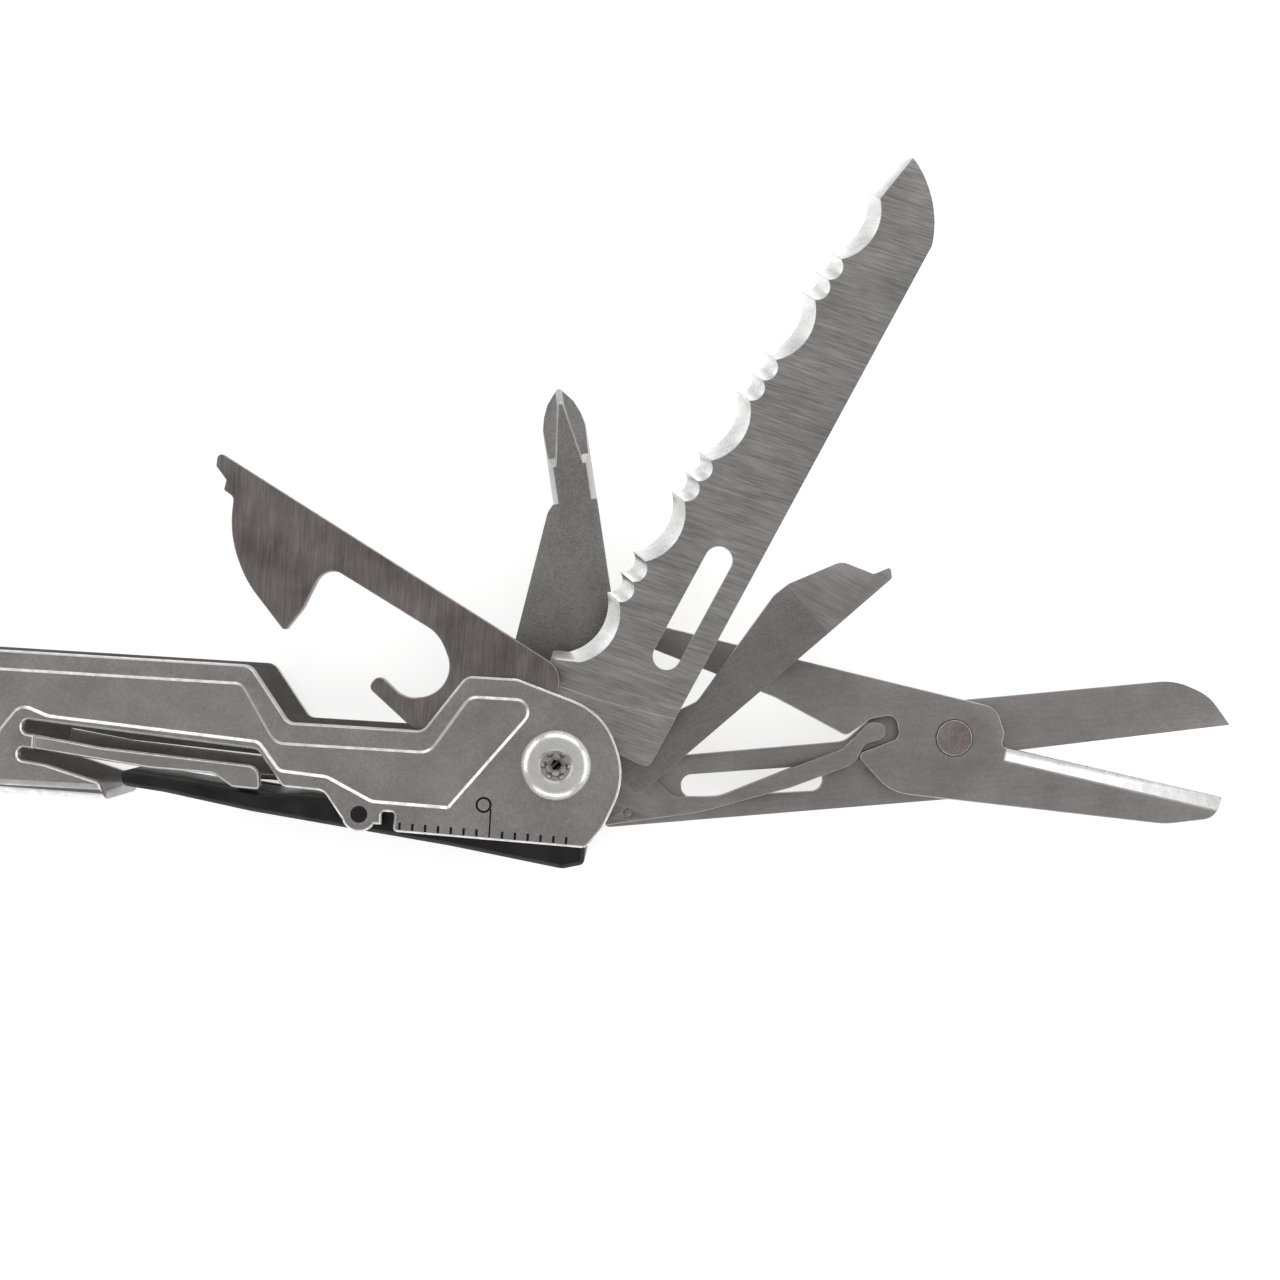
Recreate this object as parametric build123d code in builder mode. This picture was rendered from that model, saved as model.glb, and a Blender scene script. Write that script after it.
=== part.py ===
from build123d import *
import os

# A butterfly-handled multi tool lying on its side, in millimetres.
# The origin is on the right handle's tool pivot, at the handle's far face.
# +X runs along the right handle to its tool end, +Y is the open side of the
# channel, where the plier jaws point, and +Z is towards the near face.

# ---- handle, across its width (Z)
HANDLE_WIDTH = 17.0
WALL = 1.2
INNER_WIDTH = HANDLE_WIDTH - 2 * WALL
NEAR_WALL_Z = HANDLE_WIDTH - WALL

# ---- tool thicknesses, from the near wall to the far wall
OPENER_T = 1.8
SERRATED_T = 2.0
FLAT_T = 2.2
PHILLIPS_T = 3.8
MOVING_ARM_T = 1.5
FIXED_ARM_T = 1.6
ARM_GAP = 0.06
STACK_T = OPENER_T + SERRATED_T + FLAT_T + PHILLIPS_T + MOVING_ARM_T + ARM_GAP + FIXED_ARM_T
LAYER_GAP = (INNER_WIDTH - STACK_T) / 6
OPENER_Z = NEAR_WALL_Z - LAYER_GAP - OPENER_T
SERRATED_Z = OPENER_Z - LAYER_GAP - SERRATED_T
FLAT_Z = SERRATED_Z - LAYER_GAP - FLAT_T
PHILLIPS_Z = FLAT_Z - LAYER_GAP - PHILLIPS_T
MOVING_ARM_Z = PHILLIPS_Z - LAYER_GAP - MOVING_ARM_T
FIXED_ARM_Z = MOVING_ARM_Z - ARM_GAP - FIXED_ARM_T
KNIFE_T = MOVING_ARM_T + ARM_GAP + FIXED_ARM_T

# ---- how far each tool stands open at rest, from straight out (0) to folded (180)
OPENER_REST = 151.1
SERRATED_REST = 65.0
FLAT_REST = 44.0
PHILLIPS_REST = 102.0
SCISSORS_REST = 8.2
FOLDED = 180.0

# ---- distance from the pivot to each tool's straight back
OPENER_BACK = 10.4
SERRATED_BACK = 10.35
FLAT_BACK = 9.8
PHILLIPS_BACK = 9.8
SCISSORS_BACK = 9.4

# ---- pivots
BARREL_R = 2.5
BARREL_HEAD_R = 3.3
BARREL_HEAD_T = 0.8
SCREW_R = 1.45
SCREW_FIT = 0.03
RUN_FIT = 0.05
SCREW_HEAD_R = 4.35
SCREW_HEAD_T = 0.95
TANG_R = 7.7
WASHER_R = 5.2
WASHER_T = LAYER_GAP - 0.07

# ---- plier hinge and jaws
HINGE_X = -94.5
HINGE_Y = 4.4
HINGE_OFFSET = 7.0
MIDDLE_X = HINGE_X - HINGE_OFFSET
JAW_PIVOT_Y = HINGE_Y + 11.0
JAW_LENGTH = 34.3
JAW_T = 6.2
JAW_Z = (MOVING_ARM_Z + MOVING_ARM_T + SERRATED_Z) / 2 - JAW_T / 2
HUB_R = 5.2
JAW_DISC_R = 7.4
JAW_RIVET_R = 2.6
MIDDLE = Plane(origin=(MIDDLE_X, 0, 0), z_dir=(1, 0, 0))

# ---- handle, in side view
TOP = 10.1
LOBE_R = 5.7
BEAM_BOTTOM = -5.2
STRAP_BOTTOM = -7.7
STRAP_LEFT = -72.0
STRAP_RIGHT = -55.5
PANEL_DEPTH = 0.3
BEND_R = 2.0
LEVER_PIVOT = (-23.9, -7.5)
LEVER_BOSS_R = 2.2
LEVER_PIN_R = 1.0
SPRING_ROOT_X = -64.5
# upper edge of the slot over each wall's leaf spring
NEAR_SLOT = ((-36.9, -0.3, 1.4), (-66.1, 1.7, 0.8), (-66.1, 0.0, 0.8))
FAR_SLOT = ((-35.8, -2.1, 0.8), (-56.3, -1.05, 0), (SPRING_ROOT_X, 0.05, 0))

# ---- lever
LEVER_Z = WALL + 0.3
LEVER_T = INNER_WIDTH - 0.6
LEVER_CLEARANCE = 0.5
ARM_SLOT_Z = MOVING_ARM_Z - 0.23
ARM_SLOT_T = MOVING_ARM_T + 0.45

# ---- ruler along the handle's end
RULER_PITCH = 25.4 / 16
RULER_START = -18.8
RULER_COUNT = 14
RULER_LONG = 7
MARK_DEPTH = 0.12


def rounded(corners):
    """Closed face through (x, y, corner radius) points."""
    with BuildSketch(Plane.XY) as face:
        with BuildLine():
            FilletPolyline(
                *[(x, y) for x, y, _ in corners],
                radius=[radius for _, _, radius in corners],
                close=True,
            )
        make_face()
    return face.sketch


def tool_plane(z, angle):
    """Plane of a tool that pivots at the origin and stands open at an angle."""
    return Plane(origin=(0, 0, z)).rotated((0, 0, angle))


def tang(back, front_x, front_y, heel_r=0.9):
    """Root that every folding tool has: a round tang with a heel at its back."""
    with BuildSketch(Plane.XY) as root:
        Circle(TANG_R)
        add(rounded([
            (front_x, -back, 0),
            (5.0, -back, heel_r),
            (4.6, -5.0, 0),
            (0, 5.5, 0),
            (2.5, 7.2, 0),
            (front_x, front_y, 0),
        ]))
    return root.sketch


def running_hole(z, thickness):
    """Space round the tool pivot's barrel, to be cut from a tool."""
    with BuildPart(Plane.XY) as hole:
        with Locations((0, 0, z + thickness / 2)):
            Cylinder(BARREL_R + RUN_FIT, thickness)
    return hole.part


def edge_bevel(plane, start, end, width, depth, thickness, near=True):
    """Wedge to be cut from one face of a tool, along its edge from start to end.

    The edge runs with the tool's body on its right-hand side.
    """
    base = thickness if near else 0
    side = 1 if near else -1
    origin = plane.from_local_coords((start[0], start[1], base))
    finish = plane.from_local_coords((end[0], end[1], base))
    along = (finish - origin).normalized()
    inward = along.cross(plane.z_dir)
    with BuildPart(Plane.XY) as wedge:
        with BuildSketch(Plane(origin=origin, x_dir=inward, z_dir=along)) as section:
            with BuildLine():
                up = section.workplanes[0].to_local_coords(origin + plane.z_dir * side).Y
                Polyline(
                    (width, 0), (width, up), (-1.5, up), (-1.5, -up * depth * 1.5),
                    (-0.02, -up * depth), close=True,
                )
            make_face()
        extrude(amount=(finish - origin).length)
    return wedge.part


def save(piece, name):
    piece.label = name
    export_step(piece, f"parts/{name}.step")


def save_pair(piece, name):
    """The handles are mirror images, and so is what is built into them."""
    save(piece, f"right_{name}")
    save(piece.mirror(MIDDLE), f"left_{name}")


os.makedirs("parts", exist_ok=True)


# ================================================================ handle
def wall_face(slot_edge):
    """Side wall, with the openings that free the lever's leaf spring."""
    return rounded([
        (HINGE_X, TOP, 0),
        (-38.4, TOP, 1.8),
        (-33.3, 3.3, 1.4),
        (-16.7, 3.3, 1.4),
        (-11.7, 10.4, 1.6),
        (-5.4, 10.4, 2.5),
        (5.6, 6.9, 8.5),
        (8.9, -1.0, 9.0),
        (6.3, -7.4, 7.0),
        (4.3, -10.0, 0.9),
        (-19.6, -9.4, 0.4),
        (-19.6, -7.0, 0.5),
        (-21.1, -7.0, 0.5),
        (-21.1, -8.6, 0),
        (-25.6, -8.7, 0),
        (-28.5, -4.9, 1.6),
        (-33.6, -4.7, 0.8),
        *slot_edge,
        (SPRING_ROOT_X, -0.15, 0),
        (SPRING_ROOT_X, -1.9, 0),
        (-66.4, -1.8, 0.7),
        (-66.4, -3.3, 0.7),
        (-63.0, -3.7, 2.0),
        (-56.2, -5.5, 0.3),
        (STRAP_RIGHT, STRAP_BOTTOM, 0),
        (STRAP_LEFT, STRAP_BOTTOM, 2.0),
        (-75.5, BEAM_BOTTOM, 2.0),
        (-80.5, BEAM_BOTTOM, 3.0),
        (-86.0, HINGE_Y - LOBE_R, 3.0),
        (HINGE_X, HINGE_Y - LOBE_R, 0),
    ])


def panel_face():
    """Pressed-in panel of the near wall. It runs out at the beam's lower edge."""
    return rounded([
        (-88.0, 7.9, 2.0),
        (-39.3, 7.9, 1.5),
        (-34.7, 0.8, 2.0),
        (-15.8, 0.8, 2.0),
        (-11.2, 8.0, 2.0),
        (-1.9, 8.0, 1.7),
        (-12.9, -6.2, 0.7),
        (-22.5, -6.0, 2.0),
        (-28.2, -3.3, 2.0),
        (-34.2, -2.9, 1.5),
        (-36.9, 0.5, 1.2),
        (-63.0, 2.1, 2.0),
        (-66.4, 3.3, 1.5),
        (-68.8, 0.0, 2.0),
        (-68.9, -12.0, 0),
        (-88.0, -12.0, 0),
    ])


def bend_cutter(x_start, x_end, y, radius):
    """Material outside the bends between a spine at height y and both walls."""
    with BuildPart(Plane.XY) as cutter:
        for z, side in ((0, 1), (HANDLE_WIDTH, -1)):
            with BuildSketch(Plane.YZ.offset(x_start)):
                with Locations((y + radius / 2 - 0.5, z + side * (radius / 2 - 0.5))):
                    Rectangle(radius + 1, radius + 1)
                with Locations((y + radius, z + side * radius)):
                    Circle(radius, mode=Mode.SUBTRACT)
            extrude(amount=x_end - x_start)
    return cutter.part


def ruler_edge(x):
    """Height of the straight lower edge that carries the ruler."""
    return -9.4 - 0.6 * (x + 19.6) / 23.9


with BuildPart() as handle_shell:
    for wall_z, slot_edge in ((0, FAR_SLOT), (NEAR_WALL_Z, NEAR_SLOT)):
        with BuildSketch(Plane.XY.offset(wall_z)):
            add(wall_face(slot_edge))
            with Locations((HINGE_X, HINGE_Y)):
                Circle(LOBE_R)
            with Locations(LEVER_PIVOT):
                Circle(LEVER_BOSS_R)
        extrude(amount=WALL)
    chamfer(handle_shell.faces().sort_by(Axis.Z)[-1].outer_wire().edges(), 0.28)
    with BuildSketch(Plane.XY.offset(HANDLE_WIDTH)):
        add(panel_face())
    extrude(amount=-PANEL_DEPTH, taper=50, mode=Mode.SUBTRACT)
    # spines: under the beam, and the strap behind the lever
    for left, right, bottom in (
        (-80.0, -76.5, BEAM_BOTTOM),
        (STRAP_LEFT + 0.5, STRAP_RIGHT, STRAP_BOTTOM),
    ):
        with Locations(((left + right) / 2, bottom + WALL / 2, HANDLE_WIDTH / 2)):
            Box(right - left, WALL, INNER_WIDTH + 0.2)
    add(bend_cutter(-81.0, -75.6, BEAM_BOTTOM, 1.1), mode=Mode.SUBTRACT)
    add(bend_cutter(STRAP_LEFT - 1, STRAP_RIGHT + 1, STRAP_BOTTOM, BEND_R), mode=Mode.SUBTRACT)
    # pivot holes, countersunk for the flush barrel heads on the far side
    for x, y in ((0, 0), (HINGE_X, HINGE_Y)):
        with Locations((x, y, HANDLE_WIDTH / 2)):
            Cylinder(BARREL_R + 0.02, HANDLE_WIDTH + 1, mode=Mode.SUBTRACT)
        with Locations((x, y, BARREL_HEAD_T / 2)):
            Cone(BARREL_HEAD_R + 0.02, BARREL_R + 0.02, BARREL_HEAD_T, mode=Mode.SUBTRACT)
    with Locations((LEVER_PIVOT[0], LEVER_PIVOT[1], HANDLE_WIDTH / 2)):
        Cylinder(LEVER_PIN_R + RUN_FIT, HANDLE_WIDTH + 1, mode=Mode.SUBTRACT)
    # ruler marks, and a ring beside the long one
    for mark in range(RULER_COUNT):
        x = RULER_START + mark * RULER_PITCH
        height = 3.5 if mark == RULER_LONG else 0.9
        width = 0.2 if mark == RULER_LONG else 0.32
        with Locations((x, ruler_edge(x) + 0.3 + height / 2, HANDLE_WIDTH)):
            Box(width, height, 2 * MARK_DEPTH, mode=Mode.SUBTRACT)
    with BuildSketch(Plane.XY.offset(HANDLE_WIDTH)):
        with Locations((-8.6, -5.4)):
            Circle(1.0)
            Circle(0.72, mode=Mode.SUBTRACT)
    extrude(amount=-MARK_DEPTH, mode=Mode.SUBTRACT)
save_pair(handle_shell.part, "handle_shell")


# ================================================================ pivots
def barrel(x, y):
    """Sleeve with a countersunk head, flush with the far wall."""
    with BuildPart() as sleeve:
        with Locations((x, y, (NEAR_WALL_Z - 0.05) / 2)):
            Cylinder(BARREL_R, NEAR_WALL_Z - 0.05)
        with Locations((x, y, BARREL_HEAD_T / 2)):
            Cone(BARREL_HEAD_R, BARREL_R, BARREL_HEAD_T)
        with Locations((x, y, 1.5 + HANDLE_WIDTH / 2)):
            Cylinder(SCREW_R + SCREW_FIT, HANDLE_WIDTH, mode=Mode.SUBTRACT)
    return sleeve.part


def star_screw(x, y):
    """Domed screw with a six-lobed recess. Its neck fills the near wall's hole."""
    head_top = HANDLE_WIDTH + SCREW_HEAD_T
    rim_z = HANDLE_WIDTH + 0.1
    with BuildPart() as screw:
        with BuildSketch(Plane.XZ):
            with BuildLine():
                Polyline(
                    (2.6, head_top), (0, head_top), (0, 2.5), (SCREW_R, 2.5),
                    (SCREW_R, NEAR_WALL_Z), (BARREL_R, NEAR_WALL_Z), (BARREL_R, HANDLE_WIDTH),
                    (SCREW_HEAD_R - 0.1, HANDLE_WIDTH), (SCREW_HEAD_R, rim_z),
                )
                ThreePointArc((SCREW_HEAD_R, rim_z), (3.75, rim_z + 0.58), (2.6, head_top))
            make_face()
        revolve(axis=Axis.Z)
        with BuildSketch(Plane.XY.offset(head_top)):
            Circle(2.2)
        extrude(amount=-0.22, taper=55, mode=Mode.SUBTRACT)
        with BuildSketch(Plane.XY.offset(head_top)):
            Circle(1.3)
            with PolarLocations(1.4, 6):
                Circle(0.42)
        extrude(amount=-1.5, mode=Mode.SUBTRACT)
    return Pos(x, y, 0) * screw.part


save_pair(barrel(0, 0), "pivot_barrel")
save_pair(star_screw(0, 0), "pivot_screw")
save_pair(barrel(HINGE_X, HINGE_Y), "hinge_barrel")
save_pair(star_screw(HINGE_X, HINGE_Y), "hinge_screw")

with BuildPart() as pivot_washers:
    for above in (NEAR_WALL_Z, OPENER_Z, SERRATED_Z, FLAT_Z, PHILLIPS_Z, FIXED_ARM_Z):
        with Locations((0, 0, above - LAYER_GAP / 2)):
            Cylinder(WASHER_R, WASHER_T)
            Cylinder(BARREL_R + RUN_FIT, WASHER_T, mode=Mode.SUBTRACT)
save_pair(pivot_washers.part, "pivot_washers")


# ================================================================ lock lever
def spring_face():
    """Leaf spring cut free from the wall. Its end presses on the lever."""
    return rounded([
        (SPRING_ROOT_X, -0.15, 0),
        (-56.3, -1.2, 0),
        (-36.6, -2.35, 1.6),
        (-36.3, -5.25, 0.5),
        (-39.8, -5.1, 0.9),
        (-42.2, -3.6, 1.6),
        (-50.0, -3.4, 3.0),
        (-56.0, -2.8, 3.0),
        (SPRING_ROOT_X, -1.9, 0),
    ])


for side, wall_z, foot_z in (("near", NEAR_WALL_Z, NEAR_WALL_Z - 0.9), ("far", 0, WALL)):
    with BuildPart() as lever_spring:
        with BuildSketch(Plane.XY.offset(wall_z)):
            add(spring_face())
        extrude(amount=WALL)
        if side == "near":
            rim = lever_spring.faces().sort_by(Axis.Z)[-1].outer_wire().edges()
            chamfer(rim.filter_by(lambda edge: edge.center().X > SPRING_ROOT_X + 0.1), 0.2)
        # the foot reaches inwards, over the lever's edge
        with Locations((-38.1, -4.75, foot_z + 0.45)):
            Box(2.4, 0.7, 0.9)
    save_pair(lever_spring.part, f"lever_spring_{side}")

with BuildPart() as lock_lever:
    with BuildSketch(Plane.XY.offset(LEVER_Z)):
        add(rounded([
            (-54.3, -3.9, 0.6),
            (-36.5, -5.6, 4.0),
            (-20.5, -5.9, 3.0),
            (-11.0, -7.7, 0),
            (4.2, -7.7, 0),
            (4.2, -12.2, 0.8),
            (1.5, -12.9, 2.0),
            (-12.6, -10.9, 4.0),
            (-37.6, -8.1, 4.0),
            (-48.5, -6.4, 4.0),
            (-53.6, -5.9, 0.8),
        ]))
        Circle(TANG_R + LEVER_CLEARANCE, mode=Mode.SUBTRACT)
    extrude(amount=LEVER_T)
    chamfer(lock_lever.faces().sort_by(Axis.Z)[-1].outer_wire().edges(), 0.5)
    # slot that the open scissors' thumb arm passes through when they fold
    with BuildSketch(Plane.XY.offset(ARM_SLOT_Z)):
        with Locations((-31.5, -9)):
            Rectangle(40, 12)
    extrude(amount=ARM_SLOT_T, mode=Mode.SUBTRACT)
    # the pressed end stays clear of both scissor arms
    relief_t = ARM_SLOT_Z + ARM_SLOT_T - LEVER_Z
    with Locations((-50, -6, LEVER_Z + relief_t / 2)):
        Box(14, 8, relief_t, mode=Mode.SUBTRACT)
    # blind holes for the stub pins
    for start, end in ((LEVER_Z, LEVER_Z + 1.2), (LEVER_Z + LEVER_T - 4.0, LEVER_Z + LEVER_T)):
        with Locations((LEVER_PIVOT[0], LEVER_PIVOT[1], (start + end) / 2)):
            Cylinder(LEVER_PIN_R, end - start, mode=Mode.SUBTRACT)
save_pair(lock_lever.part, "lock_lever")

with BuildPart() as lever_pins:
    for start, end in ((0.15, LEVER_Z + 1.2), (LEVER_Z + LEVER_T - 4.0, HANDLE_WIDTH - 0.15)):
        with Locations((LEVER_PIVOT[0], LEVER_PIVOT[1], (start + end) / 2)):
            Cylinder(LEVER_PIN_R, end - start)
save_pair(lever_pins.part, "lever_pins")


# ================================================================ tools of the right handle
opener_plane = tool_plane(OPENER_Z, OPENER_REST)
with BuildPart() as can_bottle_opener:
    with BuildSketch(opener_plane):
        add(tang(OPENER_BACK, 14.0, 6.2, heel_r=3.0))
        add(rounded([
            (10.0, -OPENER_BACK, 0),
            (56.4, -OPENER_BACK, 0.6),
            (55.6, -8.7, 0.3),
            (53.6, -7.9, 0.3),
            (53.2, -6.7, 0.3),
            (51.7, -6.6, 0.8),
            (49.6, -2.3, 14.0),
            (44.8, 1.4, 14.0),
            (37.4, 4.1, 0.4),
            (37.0, 0.4, 4.0),
            (37.6, -5.7, 2.2),
            (21.0, -5.9, 5.0),
            (14.7, -1.3, 3.9),
            (20.3, 3.2, 3.4),
            (24.7, 2.3, 0.9),
            (24.9, 4.4, 0.8),
            (14.0, 6.4, 0),
        ]))
    extrude(amount=OPENER_T)
    chamfer(can_bottle_opener.faces().sort_by(Axis.Z)[-1].outer_wire().edges(), 0.08)
    add(running_hole(OPENER_Z, OPENER_T), mode=Mode.SUBTRACT)
save(can_bottle_opener.part, "can_bottle_opener")

BLADE_PITCH = 15.0
BIG_SCALLOP = 9.0
SMALL_SCALLOP = 3.0
SERRATION_START = 12.5
SERRATION_END = SERRATION_START + 4 * BLADE_PITCH + BIG_SCALLOP
GRIND_BACK = 0.45
GRIND_OUT = 2.06
GROUND_STEP = 0.1
BLADE_TIP = (88.0, -3.1)


def crest(x):
    """Line through the points between the serrations."""
    return 2.3 - 0.078 * (x - 27.5)


def scallops():
    """Start, width and depth of each ground serration, from the tang outwards."""
    for group in range(5):
        start = SERRATION_START + group * BLADE_PITCH
        yield start, BIG_SCALLOP, 1.9
        if group < 4:
            yield start + BIG_SCALLOP, SMALL_SCALLOP, 1.0
            yield start + BIG_SCALLOP + SMALL_SCALLOP, SMALL_SCALLOP, 1.0


serrated_plane = tool_plane(SERRATED_Z, SERRATED_REST)
with BuildPart() as serrated_blade:
    with BuildSketch(serrated_plane):
        add(tang(SERRATED_BACK, 11.6, 6.2))
        with BuildLine():
            Line((9.0, -SERRATED_BACK), (79.5, -SERRATED_BACK))
            ThreePointArc((79.5, -SERRATED_BACK), (85.3, -6.9), BLADE_TIP)
            Polyline(
                BLADE_TIP, (87.9, 0.0), (12.0, 7.2), (9.0, 6.2), (9.0, -SERRATED_BACK)
            )
        make_face()
    extrude(amount=SERRATED_T)
    # the edge is ground at a slant, from the near face out to the far face
    with BuildSketch(tool_plane(SERRATED_Z + SERRATED_T, SERRATED_REST)) as ground_away:
        with BuildLine():
            for start, width, depth in scallops():
                middle = start + width / 2
                ThreePointArc(
                    (start, crest(start)),
                    (middle, crest(middle) - depth),
                    (start + width, crest(start + width)),
                )
            Polyline(
                (SERRATION_END, crest(SERRATION_END)), BLADE_TIP, (92.0, BLADE_TIP[1]),
                (92.0, 12.0), (11.4, 12.0), (11.4, 6.2),
                (SERRATION_START, crest(SERRATION_START)),
            )
        make_face()
    far_side = serrated_plane.from_local_coords((GRIND_BACK, GRIND_OUT, 0))
    near_side = serrated_plane.from_local_coords((0, 0, SERRATED_T))
    slant = far_side - near_side
    extrude(amount=slant.length * 1.3, dir=slant.normalized(), mode=Mode.SUBTRACT)
    # the blade's near face is ground a little lower than its tang
    with BuildSketch(tool_plane(SERRATED_Z + SERRATED_T, SERRATED_REST)):
        with BuildLine():
            Spline((8.6, 5.0), (9.6, -0.9), (12.1, -10.6))
            Polyline((12.1, -10.6), (95.0, -14.0), (95.0, 14.0), (8.6, 14.0), (8.6, 5.0))
        make_face()
    extrude(amount=-GROUND_STEP, mode=Mode.SUBTRACT)
    with BuildSketch(serrated_plane):
        with Locations((25.25, -5.65)):
            SlotCenterToCenter(13.7, 3.5)
    extrude(amount=SERRATED_T, mode=Mode.SUBTRACT)
    add(running_hole(SERRATED_Z, SERRATED_T), mode=Mode.SUBTRACT)
save(serrated_blade.part, "serrated_blade")


def driver_slope(plane, start, end, thickness, drop):
    """Wedge to be cut from a driver's near face, deepening towards its tip."""
    side_plane = Plane(
        origin=plane.from_local_coords((0, -20, 0)),
        x_dir=plane.x_dir,
        z_dir=-plane.y_dir,
    )
    with BuildPart(Plane.XY) as wedge:
        with BuildSketch(side_plane):
            with BuildLine():
                Polyline(
                    (start, thickness), (end, thickness - drop), (end, thickness + 1),
                    (start, thickness + 1), close=True,
                )
            make_face()
        extrude(amount=-40)
    return wedge.part


flat_plane = tool_plane(FLAT_Z, FLAT_REST)
with BuildPart() as flat_driver:
    with BuildSketch(flat_plane):
        add(tang(FLAT_BACK, 14.0, -4.4))
        add(rounded([
            (7.0, -FLAT_BACK, 0),
            (47.4, -FLAT_BACK, 0.4),
            (48.2, -8.6, 0.3),
            (46.0, -7.9, 0.6),
            (43.9, -4.0, 2.0),
            (37.0, -1.8, 3.0),
            (34.6, -1.7, 1.0),
            (18.4, -5.6, 2.0),
            (14.0, -4.4, 2.0),
            (7.0, 2.5, 0),
        ]))
    extrude(amount=FLAT_T)
    add(driver_slope(flat_plane, 36.6, 49.0, FLAT_T, 1.3), mode=Mode.SUBTRACT)
    add(running_hole(FLAT_Z, FLAT_T), mode=Mode.SUBTRACT)
save(flat_driver.part, "flat_driver")

SHANK_R = 2.83
SHANK_AXIS = -PHILLIPS_BACK + SHANK_R
SHANK_START = 30.0
PHILLIPS_TIP = 47.2
FLUTE_START = 36.9
FLUTE_FOOT = 38.4
FLUTE_END = 48.0
RIDGE_LEAN = 0.35


def flute(axis_plane, side, face):
    """Groove between two wings of the cross, wider and deeper towards the tip."""
    profile_plane = Plane(
        origin=axis_plane.origin, x_dir=axis_plane.x_dir, z_dir=-axis_plane.y_dir
    )
    flank = axis_plane.z_dir * face - axis_plane.y_dir * side * RIDGE_LEAN
    with BuildPart(Plane.XY) as groove:
        with BuildSketch(axis_plane):
            with BuildLine():
                Polyline(
                    (FLUTE_START - 1, side * 2.6), (FLUTE_END, side * 0.35),
                    (FLUTE_END, side * 8), (FLUTE_START - 1, side * 8), close=True,
                )
            make_face()
        extrude(amount=5, dir=flank.normalized())
        with BuildSketch(profile_plane):
            with BuildLine():
                Polyline(
                    (FLUTE_START, face * 2.1), (FLUTE_FOOT, face * 1.15),
                    (FLUTE_END, face * 0.25), (FLUTE_END, face * 4),
                    (FLUTE_START, face * 4), close=True,
                )
            make_face()
        extrude(amount=10, both=True, mode=Mode.INTERSECT)
    return groove.part


def cross_tip(plane):
    """Round shank whose bullet nose is fluted on four sides."""
    axis_origin = plane.from_local_coords((0, SHANK_AXIS, PHILLIPS_T / 2))
    axis_plane = Plane(origin=axis_origin, x_dir=plane.x_dir, z_dir=plane.z_dir)
    with BuildPart(Plane.XY) as shank:
        with BuildSketch(axis_plane):
            with BuildLine():
                Polyline(
                    (PHILLIPS_TIP, 0), (SHANK_START, 0), (SHANK_START, SHANK_R),
                    (42.2, SHANK_R), (43.8, 2.45), (45.4, 1.75), (PHILLIPS_TIP, 0.3),
                    close=True,
                )
            make_face()
        revolve(axis=Axis(axis_origin, plane.x_dir))
        for side in (1, -1):
            for face in (1, -1):
                add(flute(axis_plane, side, face), mode=Mode.SUBTRACT)
    return shank.part


phillips_plane = tool_plane(PHILLIPS_Z, PHILLIPS_REST)
with BuildPart() as phillips_driver:
    with BuildSketch(phillips_plane):
        add(tang(PHILLIPS_BACK, 12.0, 4.9))
        add(rounded([
            (7.0, -PHILLIPS_BACK, 0),
            (SHANK_START + 2.5, -PHILLIPS_BACK, 0),
            (SHANK_START + 2.5, -4.1, 0),
            (31.6, -3.3, 1.0),
            (12.0, 4.9, 0),
            (9.0, 4.9, 0),
        ]))
    extrude(amount=PHILLIPS_T)
    add(cross_tip(phillips_plane))
    with BuildSketch(phillips_plane):
        Rectangle(120, 40)
    extrude(amount=PHILLIPS_T, mode=Mode.INTERSECT)
    add(running_hole(PHILLIPS_Z, PHILLIPS_T), mode=Mode.SUBTRACT)
save(phillips_driver.part, "phillips_driver")

# ---- scissors: a fixed arm on the tool pivot, a leaf spring and a moving arm
RIVET_X, RIVET_Y = 51.2, -1.4
RIVET_R = 1.4
RIVET_HEAD_R = 2.45
STUD_X, STUD_Y = 8.2, -7.6
STUD_R = 0.55

fixed_plane = tool_plane(FIXED_ARM_Z, SCISSORS_REST)
moving_plane = tool_plane(MOVING_ARM_Z, SCISSORS_REST)
with BuildPart() as scissors_fixed_arm:
    with BuildSketch(fixed_plane):
        add(tang(SCISSORS_BACK, 14.0, -0.9))
        add(rounded([
            (7.0, -SCISSORS_BACK, 0),
            (51.0, -SCISSORS_BACK, 3.0),
            (56.5, -6.5, 3.0),
            (58.8, -3.8, 1.0),
            (87.4, -2.75, 0.1),
            (85.0, 1.3, 6.0),
            (80.8, 3.6, 7.0),
            (42.5, 3.2, 2.0),
            (37.2, -0.8, 2.5),
            (7.0, -0.9, 0),
        ]))
        add(rounded([
            (15.4, -3.4, 1.4), (33.6, -3.6, 1.5), (34.2, -7.0, 1.5), (15.4, -6.4, 1.4),
        ]), mode=Mode.SUBTRACT)
        with Locations((RIVET_X, RIVET_Y)):
            Circle(RIVET_R, mode=Mode.SUBTRACT)
        with Locations((STUD_X, STUD_Y)):
            Circle(STUD_R, mode=Mode.SUBTRACT)
    extrude(amount=FIXED_ARM_T)
    add(edge_bevel(fixed_plane, (87.4, -2.75), (58.8, -3.8), 1.8, 1.2, FIXED_ARM_T, near=False),
        mode=Mode.SUBTRACT)
    add(running_hole(FIXED_ARM_Z, FIXED_ARM_T), mode=Mode.SUBTRACT)
save(scissors_fixed_arm.part, "scissors_fixed_arm")

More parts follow.
